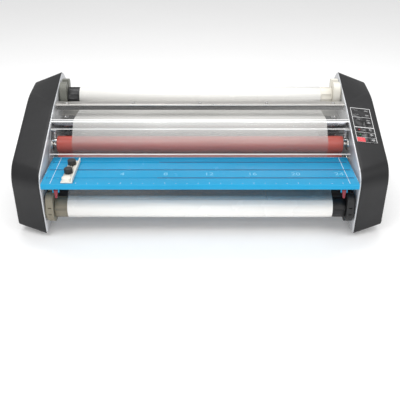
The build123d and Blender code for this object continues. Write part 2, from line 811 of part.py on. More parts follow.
for name, depth in knob_depths.items():
    with BuildPart() as knob:
        post(10, knob_x, depth, guide_top + gap, guide_top + 13)
        chamfer(knob.edges().filter_by(GeomType.CIRCLE).group_by(Axis.Z)[-1], length=1.5)
        with BuildSketch(Plane.XY.offset(guide_top + gap)) as flutes:
            with Locations((knob_x, depth)):
                with PolarLocations(10.4, 12):
                    Circle(1.1)
        extrude(flutes.sketch, amount=14, mode=Mode.SUBTRACT)
        post(stud_radius, knob_x, depth, guide_floor + gap, guide_top + gap)
    save(knob, name)

# ---- control panel ----

lamp_places = [(-14, -18.5), (-14, -36.5)]
key_proud = 1.4

with BuildPart() as control_panel_plate:
    panel_slot(panel_size, (0, 0), -panel_pocket, panel_proud, Mode.ADD)
    for key, place in key_places.items():
        panel_slot(grown(key_dims(key), gap), place, -3, 3)
    for place in lamp_places:
        with BuildSketch(panel_plane.offset(-3)) as window:
            with Locations(place):
                Circle(2.5)
        extrude(window.sketch, amount=6, mode=Mode.SUBTRACT)
save(control_panel_plate, "control_panel_plate")

with BuildPart() as indicator_lamps:
    with BuildSketch(panel_plane.offset(-panel_pocket)) as lens:
        with Locations(*lamp_places):
            Circle(2.5)
    extrude(lens.sketch, amount=panel_pocket + panel_proud + 0.6)
save(indicator_lamps, "indicator_lamps")

for key, place in key_places.items():
    size = key_dims(key)
    with BuildPart() as cap:
        panel_slot(size, place, -cover_wall - 2, panel_proud + key_proud, Mode.ADD)
        top_edges = cap.faces().sort_by(Axis(panel_plane.origin, face_normal))[-1].edges()
        fillet(top_edges, radius=0.8)
        panel_slot((5, 5), place, -board_depth + 4 + key_travel + gap, -cover_wall - 2, Mode.ADD)
    save(cap, key)

with BuildPart() as control_board:
    panel_slot((46, 118), (0, 0), -board_depth - 1.6, -board_depth, Mode.ADD)
    for key, place in key_places.items():
        panel_slot((7, 7), place, -board_depth, -board_depth + 4, Mode.ADD)
    with BuildSketch(panel_plane.offset(-board_depth)) as standoffs:
        with Locations((-20, 50), (20, 50), (-20, -29), (1, -56)):
            Circle(2.5)
    extrude(standoffs.sketch, amount=board_depth - cover_wall - 0.6)
save(control_board, "control_board")

# ---- mains supply ----

flange_depth = rear_panel_depths[1]
rocker_axis = (240.0, rocker_place[1])


def rear_box(size, place, y_from, y_to, mode=Mode.ADD):
    """A box square to the rear panel, from one depth to another."""
    block((place[0] - size[0] / 2, place[0] + size[0] / 2), (y_from, y_to),
          (place[1] - size[1] / 2, place[1] + size[1] / 2), mode)


with BuildPart() as power_inlet:
    # Mains inlet and switch moulding side by side, each in its own cut-out.
    rear_box(inlet_body, inlet_place, 222, flange_depth)
    rear_box(rocker_body, rocker_place, 228, flange_depth)
    block((rocker_place[0] - 11, inlet_place[0] + 18), (flange_depth, flange_depth + 3),
          (inlet_place[1] - 16, inlet_place[1] + 16))
    rear_box((24, 17), inlet_place, 228, flange_depth + 4, Mode.SUBTRACT)
    rear_box((11, 17), rocker_place, 231, flange_depth + 4, Mode.SUBTRACT)
    bar(pin_radius + run_fit, rocker_place[0] - 6.6, rocker_place[0] + 6.6, rocker_axis, Mode.SUBTRACT)
    for dx, dz in ((-7, -2), (7, -2), (0, 3)):
        rear_box((2, 4), (inlet_place[0] + dx, inlet_place[1] + dz), 226, 241)
save(power_inlet, "power_inlet")

with BuildPart() as power_rocker:
    half_width = 5.0
    profile([(234.5, 56), (234.5, 68), (249, 68.3), (246, 62), (246.8, 55.7)],
            [0, 0, 0.5, 4, 0.5], rocker_place[0] - half_width, rocker_place[0] + half_width)
    bar(pin_radius, rocker_place[0] - 6.5, rocker_place[0] + 6.5, rocker_axis)
save(power_rocker, "power_rocker")

with BuildPart() as power_supply:
    block((150, 300), (120, 205), (20, 21.6))
    for x in (156, 294):
        for y in (126, 199):
            post(3, x, y, pan_top, 20)
    block((160, 205), (130, 175), (21.6, 58))
    post(12, 235, 150, 21.6, 50)
    post(12, 265, 150, 21.6, 50)
    block((215, 285), (178, 184), (21.6, 52))
save(power_supply, "power_supply")
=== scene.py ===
"""Desktop roll laminator: materials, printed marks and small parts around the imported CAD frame."""

import json
import math

import bpy
from mathutils import Matrix, Vector


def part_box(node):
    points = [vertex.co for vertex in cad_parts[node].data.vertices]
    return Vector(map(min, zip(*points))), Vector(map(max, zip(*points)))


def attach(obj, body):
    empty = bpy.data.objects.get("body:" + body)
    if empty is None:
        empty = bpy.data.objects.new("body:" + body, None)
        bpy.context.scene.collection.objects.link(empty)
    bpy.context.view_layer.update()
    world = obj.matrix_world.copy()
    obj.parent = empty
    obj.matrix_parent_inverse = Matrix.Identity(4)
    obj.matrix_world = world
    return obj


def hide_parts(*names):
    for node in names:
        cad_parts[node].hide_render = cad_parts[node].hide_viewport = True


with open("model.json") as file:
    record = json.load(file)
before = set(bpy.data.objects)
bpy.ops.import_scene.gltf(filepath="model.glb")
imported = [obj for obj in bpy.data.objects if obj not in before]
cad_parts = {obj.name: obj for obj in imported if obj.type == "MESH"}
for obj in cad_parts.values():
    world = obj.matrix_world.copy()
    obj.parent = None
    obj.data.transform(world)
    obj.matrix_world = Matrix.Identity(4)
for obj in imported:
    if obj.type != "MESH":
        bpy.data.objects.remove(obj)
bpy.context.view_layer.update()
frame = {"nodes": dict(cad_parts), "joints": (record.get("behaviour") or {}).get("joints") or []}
nodes = frame["nodes"]
MM = 0.001

# ---- node materials ----


class Surface:
    """A Principled material whose colour, roughness and bump come from noise in object space."""

    def __init__(self, name, colour, rough, metallic=0.0, stretch=(1, 1, 1), centre=(0, 0, 0)):
        self.material = bpy.data.materials.new(name)
        self.material.use_nodes = True
        self.tree = self.material.node_tree
        self.shader = self.tree.nodes["Principled BSDF"]
        self.colour = colour
        self.rough = rough
        self.shader.inputs["Base Color"].default_value = (*colour, 1)
        self.shader.inputs["Roughness"].default_value = rough
        self.shader.inputs["Metallic"].default_value = metallic
        coordinates = self.add("ShaderNodeTexCoord")
        mapping = self.add("ShaderNodeMapping")
        mapping.inputs["Location"].default_value = [-c * s for c, s in zip(centre, stretch)]
        mapping.inputs["Scale"].default_value = stretch
        self.link(coordinates.outputs["Object"], mapping.inputs["Vector"])
        self.place = mapping.outputs["Vector"]
        self.bump_before = None

    def add(self, kind):
        return self.tree.nodes.new(kind)

    def link(self, start, end):
        self.tree.links.new(start, end)

    def set(self, **values):
        """Plain values on the shader's own sockets, by name with underscores for spaces."""
        for name, value in values.items():
            self.shader.inputs[name.replace("_", " ")].default_value = value
        return self

    def noise(self, scale, detail=4.0, rough=0.55):
        node = self.add("ShaderNodeTexNoise")
        node.inputs["Scale"].default_value = scale
        node.inputs["Detail"].default_value = detail
        node.inputs["Roughness"].default_value = rough
        self.link(self.place, node.inputs["Vector"])
        return node.outputs["Fac"]

    def cells(self, scale):
        node = self.add("ShaderNodeTexVoronoi")
        node.inputs["Scale"].default_value = scale
        self.link(self.place, node.inputs["Vector"])
        return node.outputs["Distance"]

    def ranged(self, value, low, high, start=0.3, end=0.7):
        node = self.add("ShaderNodeMapRange")
        node.inputs["From Min"].default_value = start
        node.inputs["From Max"].default_value = end
        node.inputs["To Min"].default_value = low
        node.inputs["To Max"].default_value = high
        self.link(value, node.inputs["Value"])
        return node.outputs["Result"]

    def mottle(self, scale, amount, tint=(1, 1, 1)):
        """Slow colour variation, darker and lighter by amount."""
        mix = self.add("ShaderNodeMix")
        mix.data_type = "RGBA"
        dark = [c * (1 - amount) for c in self.colour]
        light = [min(1.0, c * (1 + amount) * t) for c, t in zip(self.colour, tint)]
        mix.inputs["A"].default_value = (*dark, 1)
        mix.inputs["B"].default_value = (*light, 1)
        self.link(self.ranged(self.noise(scale), 0, 1), mix.inputs["Factor"])
        self.link(mix.outputs["Result"], self.shader.inputs["Base Color"])
        return self

    def scuff(self, scale, amount):
        """Roughness that varies by amount either way."""
        low, high = max(0.02, self.rough - amount), min(1.0, self.rough + amount)
        self.link(self.ranged(self.noise(scale, 6.0), low, high), self.shader.inputs["Roughness"])
        return self

    def bump(self, value, depth, strength=1.0):
        """Relief of a given depth in metres, on top of any relief added before."""
        node = self.add("ShaderNodeBump")
        node.inputs["Distance"].default_value = depth
        node.inputs["Strength"].default_value = strength
        self.link(value, node.inputs["Height"])
        if self.bump_before:
            self.link(self.bump_before, node.inputs["Normal"])
        self.bump_before = node.outputs["Normal"]
        self.link(self.bump_before, self.shader.inputs["Normal"])
        return self

    def grazing(self):
        """0 where the surface is seen square on, rising steeply to 1 where it is seen edge on."""
        weight = self.add("ShaderNodeLayerWeight")
        power = self.add("ShaderNodeMath")
        power.operation = "POWER"
        power.inputs[1].default_value = 4.0
        self.link(weight.outputs["Facing"], power.inputs[0])
        return power.outputs["Value"]

    def cover(self, value):
        """How much of the surface is there to be seen, from 0 to 1."""
        self.link(value, self.shader.inputs["Alpha"])

    def grain(self, scale, depth, strength=0.5):
        return self.bump(self.noise(scale, 3.0), depth, strength)


def moulded(name, colour, rough, grain=900.0, depth=0.00004, amount=0.12):
    """Moulded plastic with a fine spark-eroded texture."""
    made = Surface(name, colour, rough).mottle(14, amount).scuff(60, 0.05)
    made.bump(made.cells(grain), depth, 0.4)
    return made.grain(30, 0.0001, 0.1).set(Specular_IOR_Level=0.35)


def steel(name, colour, rough, stretch, grain=500.0, depth=0.00003):
    """Bare metal with a drawn or rolled grain: small stretch runs along the grain."""
    made = Surface(name, colour, rough, 1.0, stretch).mottle(6, 0.06).scuff(grain * 0.3, rough * 0.3)
    return made.grain(grain, depth, 0.5)


along_x = (0.03, 1, 1)
along_y = (1, 0.04, 1)

charcoal = moulded("charcoal_moulding", (0.016, 0.016, 0.017), 0.38, 1100).set(Specular_IOR_Level=0.25)
black = moulded("black_moulding", (0.012, 0.012, 0.013), 0.42)
dark_grey = moulded("grey_moulding", (0.17, 0.172, 0.15), 0.42)
plug_grey = moulded("plug_moulding", (0.034, 0.034, 0.035), 0.36)
cream = moulded("cream_moulding", (0.76, 0.735, 0.66), 0.42, amount=0.05)
tan = moulded("tan_moulding", (0.2, 0.18, 0.135), 0.45)
white = moulded("white_moulding", (0.72, 0.7, 0.64), 0.4, amount=0.05)
nylon = moulded("nylon", (0.68, 0.66, 0.58), 0.38, amount=0.05)
blue = Surface("blue_moulding", (0.013, 0.29, 0.53), 0.24).mottle(5, 0.05).scuff(20, 0.04)
blue.grain(900, 0.00001, 0.3).grain(9, 0.0002, 0.05).set(Specular_IOR_Level=0.2)
red = Surface("red_moulding", (0.2, 0.012, 0.026), 0.28).mottle(20, 0.15).grain(400, 0.00004)
key_black = moulded("key_black", (0.018, 0.018, 0.02), 0.36, 1500, 0.00005)
key_red = Surface("key_red", (0.72, 0.055, 0.07), 0.35).mottle(60, 0.1).grain(900, 0.00004)
panel_black = Surface("panel_black", (0.012, 0.012, 0.013), 0.25).mottle(30, 0.2).grain(1200, 0.00003)
ink_white = Surface("ink_white", (0.8, 0.8, 0.8), 0.5).mottle(300, 0.06).grain(900, 0.00002)
ink_dark = Surface("ink_dark", (0.003, 0.045, 0.13), 0.5).mottle(300, 0.2).grain(900, 0.00002)
zinc = steel("zinc_plate", (0.6, 0.61, 0.63), 0.36, along_y, 300, 0.000004).set(Metallic=0.35)
rod_steel = steel("drawn_steel", (0.6, 0.6, 0.6), 0.22, along_x, 400)
# The idlers' chrome has a dark base colour: a painted dark reflection, standing for the dark surroundings it
# mirrors.
chrome_painted_dark = steel("chrome_painted_dark", (0.34, 0.345, 0.37), 0.07, along_x, 600, 0.000003)
journal_steel = steel("ground_steel", (0.82, 0.8, 0.77), 0.16, (1, 1, 1), 600, 0.000004)
aluminium = steel("anodised_aluminium", (0.6, 0.585, 0.56), 0.36, along_x, 300, 0.000005)
turned = steel("turned_steel", (0.66, 0.65, 0.63), 0.2, (1, 1, 1), 900)
black_paint = Surface("black_paint", (0.012, 0.012, 0.013), 0.45).mottle(18, 0.2).grain(800, 0.00012)
grey_paint = Surface("grey_paint", (0.3, 0.285, 0.25), 0.5).mottle(12, 0.1).grain(700, 0.00012)
rubber = Surface("black_rubber", (0.016, 0.016, 0.016), 0.75).mottle(40, 0.3).grain(500, 0.0002)
silicone = Surface("red_silicone", (0.4, 0.055, 0.036), 0.38, stretch=(0.25, 1, 1))
silicone.mottle(25, 0.12, (1.05, 0.95, 0.9)).scuff(90, 0.08).grain(700, 0.00008)
board = Surface("circuit_board", (0.01, 0.13, 0.045), 0.35).mottle(250, 0.35).grain(500, 0.0001)
lens_red = Surface("lamp_lens_red", (0.2, 0.012, 0.02), 0.15).mottle(200, 0.2).grain(600, 0.00003)
lens_green = Surface("lamp_lens_green", (0.02, 0.12, 0.045), 0.15).mottle(200, 0.2).grain(600, 0.00003)
ink_blue = Surface("ink_pale_blue", (0.16, 0.47, 0.66), 0.5).mottle(300, 0.06).grain(900, 0.00002)


def film_roll(name, axis):
    """Film wound on a core: fine rings where the windings end, and a soft sheen along the roll."""
    made = Surface(name, (0.86, 0.85, 0.82), 0.24, centre=(0, *axis))
    rings = made.add("ShaderNodeTexWave")
    rings.wave_type = "RINGS"
    rings.rings_direction = "X"
    rings.inputs["Scale"].default_value = 900
    rings.inputs["Distortion"].default_value = 1.5
    made.link(made.place, rings.inputs["Vector"])
    made.mottle(3, 0.04).scuff(8, 0.08)
    made.bump(rings.outputs["Fac"], 0.0001, 0.4)
    return made.grain(12, 0.0001, 0.1).set(Coat_Weight=0.25, Coat_Roughness=0.12)


def clear(name, tint, rough, haze, gloss):
    """Clear sheet: an even haze, and gloss that grows towards grazing angles."""
    made = Surface(name, tint, rough).mottle(4, 0.03).scuff(5, rough * 0.4)
    made.grain(10, 0.0002, 0.06).set(IOR=1.5, Specular_IOR_Level=1.0)
    made.cover(made.ranged(made.grazing(), haze, haze + gloss, 0.0, 1.0))
    return made


def bent_sheet(name, tint, rough, haze, gloss, bends):
    """Clear sheet with painted highlights: bands along its bends, each an (axis, place, half width, strength),
    drawn whiter and more opaque as if they caught the light.
    """
    made = clear(name, tint, rough, haze, gloss)
    total = made.ranged(made.grazing(), haze, haze + gloss, 0.0, 1.0)
    split = made.add("ShaderNodeSeparateXYZ")
    made.link(made.place, split.inputs["Vector"])
    for axis, middle, half, strength in bends:
        away = made.add("ShaderNodeMath")
        away.operation = "COMPARE"
        away.inputs[1].default_value = middle * MM
        away.inputs[2].default_value = half * MM
        made.link(split.outputs[axis], away.inputs[0])
        # painted highlight: the band's whiteness is added on top of the haze
        painted_highlight = made.add("ShaderNodeMath")
        painted_highlight.operation = "MULTIPLY_ADD"
        painted_highlight.use_clamp = True
        painted_highlight.inputs[1].default_value = strength
        made.link(away.outputs["Value"], painted_highlight.inputs[0])
        made.link(total, painted_highlight.inputs[2])
        total = painted_highlight.outputs["Value"]
    made.cover(total)
    return made


def film(name, low, high, thin, thick):
    """Film whose haze grows with height: a painted sheen, for the light that the higher, flatter run of film
    reflects.
    """
    made = clear(name, (0.93, 0.92, 0.89), 0.2, thin, 0.5)
    split = made.add("ShaderNodeSeparateXYZ")
    made.link(made.place, split.inputs["Vector"])
    painted_sheen = made.ranged(split.outputs["Z"], 0.0, thick - thin, low, high)
    total = made.add("ShaderNodeMath")
    total.use_clamp = True
    made.link(painted_sheen, total.inputs[0])
    made.link(made.ranged(made.grazing(), thin, thin + 0.6, 0.0, 1.0), total.inputs[1])
    made.cover(total.outputs["Value"])
    return made


# Painted highlights: bands along the shield's bends where the sheet is drawn whiter, whatever the lamps do.
painted_bend_highlights = [("Y", -63.7, 0.9, 0.85), ("Z", 232.0, 0.8, 0.5), ("Z", 181.0, 0.6, 0.6)]
acrylic = bent_sheet("clear_acrylic", (0.95, 0.95, 0.94), 0.05, 0.012, 0.5, painted_bend_highlights)
# A whiter clear material for the sheet's edges: a painted highlight.
acrylic_edge_highlight = clear("acrylic_edge_highlight", (0.95, 0.97, 0.98), 0.15, 0.75, 0.2)
# The upper web is hazier the higher it runs: a painted sheen.
web_film = film("film_web", 0.192, 0.262, 0.05, 0.68)
sealed_film = film("sealed_film", 0.0, 0.1, 0.07, 0.1)

# ---- a material for every CAD node ----

finish = {
    charcoal: ["left_side_cover", "right_side_cover"],
    zinc: ["left_side_frame", "right_side_frame"],
    rod_steel: ["tie_bars", "cover_screws", "shield_screws", "pressure_springs", "heater_lamps"],
    chrome_painted_dark: ["upper_idler", "lower_idler"],
    journal_steel: ["upper_heat_roller_core", "lower_heat_roller_core"],
    aluminium: ["shield_hinge_bar"],
    turned: ["roller_bushes"],
    black_paint: ["front_cross_member", "drive_motor", "rear_panel"],
    grey_paint: ["base_pan", "pull_roller_guard"],
    rubber: ["rubber_feet", "upper_pull_roller", "lower_pull_roller", "drive_belt"],
    silicone: ["upper_heat_roller_sleeve", "lower_heat_roller_sleeve"],
    nylon: ["upper_heat_gear", "lower_heat_gear", "motor_pulley"],
    dark_grey: ["upper_left_roll_bracket"],
    cream: ["upper_right_roll_bracket", "upper_right_core_plug"],
    tan: ["lower_left_roll_bracket", "lower_left_core_plug"],
    black: ["lower_right_roll_bracket", "lower_right_core_plug", "power_inlet", "power_rocker"],
    plug_grey: ["upper_left_core_plug", "front_guide_knob", "rear_guide_knob"],
    white: ["edge_guide"],
    blue: ["feed_tray"],
    red: ["left_tray_latch", "right_tray_latch"],
    panel_black: ["control_panel_plate"],
    key_black: ["upper_key", "heat_key", "run_key", "reverse_key"],
    key_red: ["stop_key"],
    board: ["control_board", "power_supply"],
    lens_red: ["indicator_lamps"],
    acrylic: ["safety_shield"],
    web_film: ["upper_film_web"],
    sealed_film: ["lower_film_web", "laminated_film"],
}
for made, names in finish.items():
    for name in names:
        mesh = nodes[name].data
        mesh.materials.clear()
        mesh.materials.append(made.material)


def centre_of(node):
    low, high = (Vector(corner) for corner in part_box(node))
    return (low + high) / 2


for level in ("upper", "lower"):
    node = f"{level}_film_roll"
    middle = centre_of(node)
    nodes[node].data.materials.clear()
    nodes[node].data.materials.append(film_roll(f"{level}_film", middle.yz).material)

# ---- rounded edges on the moulded and machined parts ----

edge_radius = {
    "left_side_cover": 1.2, "right_side_cover": 1.2, "feed_tray": 0.8, "shield_hinge_bar": 0.5,
    "upper_left_roll_bracket": 1.6, "upper_right_roll_bracket": 1.6,
    "lower_left_roll_bracket": 1.6, "lower_right_roll_bracket": 1.6,
    "upper_heat_roller_sleeve": 0.8, "lower_heat_roller_sleeve": 0.8,
    "left_tray_latch": 0.6, "right_tray_latch": 0.6, "edge_guide": 0.5,
    "front_guide_knob": 0.4, "rear_guide_knob": 0.4, "power_inlet": 0.5, "power_rocker": 0.4,
    "upper_key": 0.3, "heat_key": 0.3, "run_key": 0.3, "reverse_key": 0.3, "stop_key": 0.4,
}
for name, piece in nodes.items():
    for polygon in piece.data.polygons:
        polygon.use_smooth = True
    weld = piece.modifiers.new("weld", "WELD")
    weld.merge_threshold = 1e-6
    bevel = piece.modifiers.new("edge", "BEVEL")
    bevel.width = edge_radius.get(name, 0.25) * MM
    bevel.segments = 3 if name in edge_radius else 1
    bevel.limit_method = "ANGLE"
    bevel.angle_limit = math.radians(32)
    bevel.harden_normals = True

# The sheet's cut edges and the strip along its bottom lip get a whiter, more opaque material: a painted
# highlight along the edges.
sheet = nodes["safety_shield"].data
sheet.materials.append(acrylic_edge_highlight.material)
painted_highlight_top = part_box("safety_shield")[0][2] + 0.0012
for polygon in sheet.polygons:
    if abs(polygon.normal.x) > 0.9 or polygon.center.z < painted_highlight_top:
        polygon.material_index = 1

# The lower of the two indicator lamps is green.
lamps = nodes["indicator_lamps"].data
lamps.materials.append(lens_green.material)
lamps_middle = sum(corner[2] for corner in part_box("indicator_lamps")) / 2
for polygon in lamps.polygons:
    if polygon.center.z < lamps_middle:
        polygon.material_index = 1

# The hinge bar's front below its lip is painted black: a painted shadow for the shade under the strip.
hinge_bar = nodes["shield_hinge_bar"].data
hinge_bar.materials.append(black_paint.material)
painted_shadow_top = 0.2655
for polygon in hinge_bar.polygons:
    if polygon.center.z < painted_shadow_top and polygon.normal.y < -0.5:
        polygon.material_index = 1

# ---- small mesh helpers ----


def add_mesh(name, vertices, faces, made, body, slot):
    mesh = bpy.data.meshes.new(name)
    mesh.from_pydata([tuple(v) for v in vertices], [], faces)
    mesh.validate()
    mesh.materials.append(made.material)
    piece = bpy.data.objects.new(name, mesh)
    bpy.context.scene.collection.objects.link(piece)
    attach(piece, body)
    return piece


def prism(outline, height, place=Matrix.Identity(4)):
    """Vertices and faces of a flat outline given thickness, both in the plane of place."""
    count = len(outline)
    vertices = [place @ Vector((x, y, z)) for z in (0.0, height) for x, y in outline]
    faces = [tuple(reversed(range(count))), tuple(range(count, 2 * count))]
    faces += [(i, (i + 1) % count, count + (i + 1) % count, count + i) for i in range(count)]
    return vertices, faces


def joined(parts):
    """Several (vertices, faces) in one."""
    vertices, faces = [], []
    for some_vertices, some_faces in parts:
        start = len(vertices)
        vertices += some_vertices
        faces += [tuple(start + i for i in face) for face in some_faces]
    return vertices, faces


def stroke(x0, y0, x1, y1, width):
    """Outline of a straight line of a given width, in millimetres turned to metres."""
    along = Vector((x1 - x0, y1 - y0)).normalized()
    side = Vector((-along.y, along.x)) * width / 2
    corners = [(x0 - side.x, y0 - side.y), (x1 - side.x, y1 - side.y),
               (x1 + side.x, y1 + side.y), (x0 + side.x, y0 + side.y)]
    return [(x * MM, y * MM) for x, y in corners]


def printed(name, outlines, place, made, body, slot, thick=0.12):
    """Printed marks: thin raised ink on a surface."""
    parts = [prism(outline, thick * MM, place) for outline in outlines]
    return add_mesh(name, *joined(parts), made, body, slot)


# ---- the control panel's own plane ----

press = next(j for j in frame["joints"] if j["name"] == "stop_key_press")
outward = -Vector(press["axis"]).normalized()
uphill = Vector((0, outward.z, -outward.y)).normalized()
rightward = uphill.cross(outward)
plate_thick = 1.3
panel_size = (52.0, 127.0)
panel_origin = centre_of("control_panel_plate") + outward * plate_thick / 2 * MM


def panel_place(lift=0.0):
    origin = panel_origin + outward * lift * MM
    place = Matrix((rightward, uphill, outward)).transposed().to_4x4()
    place.translation = origin
    return place


key_column = 14.0
key_places = {"upper_key": (key_column, 9), "heat_key": (key_column, -18.5), "run_key": (key_column, -36.5),
              "reverse_key": (key_column, -54.5), "stop_key": (-14.5, -54.5)}
key_size, stop_key_size, key_gap = (15.0, 12.0), (20.0, 14.0), 0.3
key_hole_depth = 8.3


def key_hole(name):
    """The opening that a key moves in, through the cover's wall."""
    x, y = key_places[name]
    wide, tall = stop_key_size if name == "stop_key" else key_size
    half_x, half_y = (wide / 2 + key_gap) * MM, (tall / 2 + key_gap) * MM
    x, y = x * MM, y * MM
    outline = [(x - half_x, y - half_y), (x + half_x, y - half_y),
               (x + half_x, y + half_y), (x - half_x, y + half_y)]
    return prism(outline, (key_hole_depth + 4) * MM, panel_place(-key_hole_depth))


def panel_corner(sign):
    """A corner of the panel's cut-out, from its middle."""
    return sign * (panel_size[0] / 2 + 0.05) * MM, sign * (panel_size[1] / 2 + 0.05) * MM


# ---- side covers: the shells as smooth mouldings with soft edges ----

cover_inner_face, cover_shoulder, cover_outer_face = 374.0, 442.0, 447.0
cover_wall, cover_round = 3.0, 6.0
inner_corners = [(-206.5, 10), (260, 10), (260, 228), (152, 315), (0, 265.4), (-235.5, 170)]
inner_radii = [8, 10, 30, 30, 400, 40]
outer_corners = [(-179.5, 20), (220, 20), (222, 225), (150, 287), (55, 277), (-201, 173.2)]
outer_radii = [8, 8, 30, 25, 200, 50]
arc_steps, edge_steps = 12, 16


def rounded(corners, radii):
    """A closed outline with rounded corners, with the same count of points whatever the radii."""
    arcs = []
    for i, (corner, radius) in enumerate(zip(corners, radii)):
        corner = Vector(corner)
        back = (Vector(corners[i - 1]) - corner).normalized()
        ahead = (Vector(corners[(i + 1) % len(corners)]) - corner).normalized()
        half = back.angle(ahead) / 2
        middle = corner + (back + ahead).normalized() * radius / math.sin(half)
        first = corner + back * radius / math.tan(half) - middle
        last = corner + ahead * radius / math.tan(half) - middle
        sweep = math.pi - 2 * half
        arcs.append([middle + (first * math.sin((1 - t) * sweep) + last * math.sin(t * sweep))
                     / math.sin(sweep) for t in (k / arc_steps for k in range(arc_steps + 1))])
    outline = []
    for i, arc in enumerate(arcs):
        start, end = arc[-1], arcs[(i + 1) % len(arcs)][0]
        outline += arc + [start.lerp(end, k / edge_steps) for k in range(1, edge_steps)]
    return outline


def inset(outline, amount):
    """An outline moved inwards by amount."""
    count = len(outline)
    moved = []
    for i, point in enumerate(outline):
        along = (outline[(i + 1) % count] - outline[i - 1]).normalized()
        moved.append(point + Vector((-along.y, along.x)) * amount)
    return moved


def cover_rings():
    """The cover's outer skin as rings of (height along X, outline), from the rim to the outer face."""
    inner, outer = rounded(inner_corners, inner_radii), rounded(outer_corners, outer_radii)
    depth = cover_shoulder - cover_inner_face

    def ruled(x):
        part = min(1.0, (x - cover_inner_face) / depth)
        return [a.lerp(b, part) for a, b in zip(inner, outer)]

    rings = [(cover_inner_face, inset(ruled(cover_inner_face), 0.9)),
             (cover_inner_face + 0.35, inset(ruled(cover_inner_face), 0.3))]
    round_start = cover_outer_face - cover_round
    steps = 12
    for k in range(steps + 1):
        x = cover_inner_face + 1.0 + (round_start - cover_inner_face - 1.0) * k / steps
        rings.append((x, ruled(x)))
    for k in range(1, 7):
        turn = math.radians(15 * k)
        x = round_start + cover_round * math.sin(turn)
        rings.append((x, inset(ruled(x), cover_round * (1 - math.cos(turn)))))
    last = rings[-1][1]
    centre = sum(last, Vector((0, 0))) / len(last)
    for share in (0.9, 0.6, 0.3):
        rings.append((cover_outer_face, [centre + (point - centre) * share for point in last]))
    return rings, centre


def cut(piece, parts):
    """Take closed (vertices, faces) out of a piece, and leave it as one plain mesh."""
    mesh = bpy.data.meshes.new("cutter")
    vertices, faces = joined(parts)
    mesh.from_pydata([tuple(v) for v in vertices], [], faces)
    cutter = bpy.data.objects.new("cutter", mesh)
    bpy.context.scene.collection.objects.link(cutter)
    taken = piece.modifiers.new("cut", "BOOLEAN")
    taken.solver = "EXACT"
    taken.operation = "DIFFERENCE"
    taken.object = cutter
    graph = bpy.context.evaluated_depsgraph_get()
    made = bpy.data.meshes.new_from_object(piece.evaluated_get(graph))
    piece.modifiers.clear()
    piece.data = made
    bpy.data.objects.remove(cutter)
    bpy.data.meshes.remove(mesh)


screw_places = [(-150, 70), (190, 60), (140, 240)]
screw_seat, screw_head = 1.5, 4.3


def cover_skin(side):
    rings, centre = cover_rings()
    count = len(rings[0][1])
    vertices = [Vector((side * x, point.x, point.y)) * MM for x, outline in rings for point in outline]
    faces = []
    for ring in range(len(rings) - 1):
        for i in range(count):
            a, b = ring * count + i, ring * count + (i + 1) % count
            faces.append((a, b, b + count, a + count))
    vertices.append(Vector((side * cover_outer_face, centre.x, centre.y)) * MM)
    start = (len(rings) - 1) * count
    faces += [(start + i, start + (i + 1) % count, len(vertices) - 1) for i in range(count)]
    if side < 0:
        faces = [tuple(reversed(face)) for face in faces]
    return vertices, faces


def round_cut(radius, side, place):
    outline = [(radius * math.cos(math.tau * k / 24) * MM, radius * math.sin(math.tau * k / 24) * MM)
               for k in range(24)]
    across = Matrix(((0, 0, 1), (1, 0, 0), (0, 1, 0))).to_4x4()
    low = min(side * (cover_outer_face - screw_seat), side * (cover_outer_face + 1))
    across.translation = Vector((low, *place)) * MM
    return prism(outline, (screw_seat + 1) * MM, across)


for side_name, side in (("left", -1), ("right", 1)):
    vertices, faces = cover_skin(side)
    cover = add_mesh(f"{side_name}_cover_moulding", vertices, faces, charcoal, "machine",
                     "charcoal_plastic")
    wall = cover.modifiers.new("wall", "SOLIDIFY")
    wall.thickness = cover_wall * MM
    wall.offset = -1.0
    cuts = [round_cut(screw_head, side, place) for place in screw_places]
    if side > 0:
        low, high = panel_corner(-1), panel_corner(1)
        cuts.append(prism([low, (high[0], low[1]), high, (low[0], high[1])],
                          (plate_thick + 3) * MM, panel_place(-plate_thick)))
    cut(cover, cuts)
    if side > 0:
        cut(cover, [key_hole(name) for name in key_places])
    for polygon in cover.data.polygons:
        polygon.use_smooth = True
    cover.data.set_sharp_from_angle(angle=math.radians(35))
    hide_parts(f"{side_name}_side_cover")

# ---- control panel print ----

half_wide, half_tall, left_line = 24.5, 62.0, -25.3
thin_row, thick_row = 28.0, -9.5
lower_rows = (-18.5, -36.5, -54.5)
frame_lines = [
    stroke(left_line, half_tall, half_wide, half_tall, 1.3),
    stroke(left_line, -half_tall, half_wide, -half_tall, 0.4),
    stroke(left_line, -half_tall - 0.2, left_line, half_tall + 0.6, 1.0),
    stroke(half_wide, -half_tall - 0.2, half_wide, half_tall + 0.6, 1.1),
    stroke(left_line, thin_row, half_wide, thin_row, 0.7),
    stroke(left_line, thick_row, half_wide, thick_row, 2.0),
    stroke(left_line, -27.5, half_wide, -27.5, 0.5),
    stroke(left_line, -45.5, half_wide, -45.5, 0.5),
]
for row in (54.5, 38, 19):
    frame_lines += [stroke(10 + k * 3, row - 1, 11.6 + k * 3, row + 1, 0.5) for k in range(3)]
    frame_lines.append(stroke(9.5, row - 2, 18.5, row - 2, 0.5))
    frame_lines.append(stroke(-18, row, -7, row, 0.25))
printed("panel_print", frame_lines, panel_place(), ink_white, "machine", "white_plastic")


def outline_of(points):
    """Points in millimetres as an outline in metres."""
    return [(x * MM, y * MM) for x, y in points]


def ring_marks(centre, radius, width, gap_degrees):
    """Short strokes round most of a circle, for a turning symbol."""
    steps = 14
    span = math.radians(360 - gap_degrees) / steps
    start = math.radians(gap_degrees / 2)
    marks = []
    for i in range(steps):
        a, b = start + i * span, start + (i + 1.15) * span
        marks.append(stroke(centre[0] + radius * math.cos(a), centre[1] + radius * math.sin(a),
                            centre[0] + radius * math.cos(b), centre[1] + radius * math.sin(b), width))
    return marks


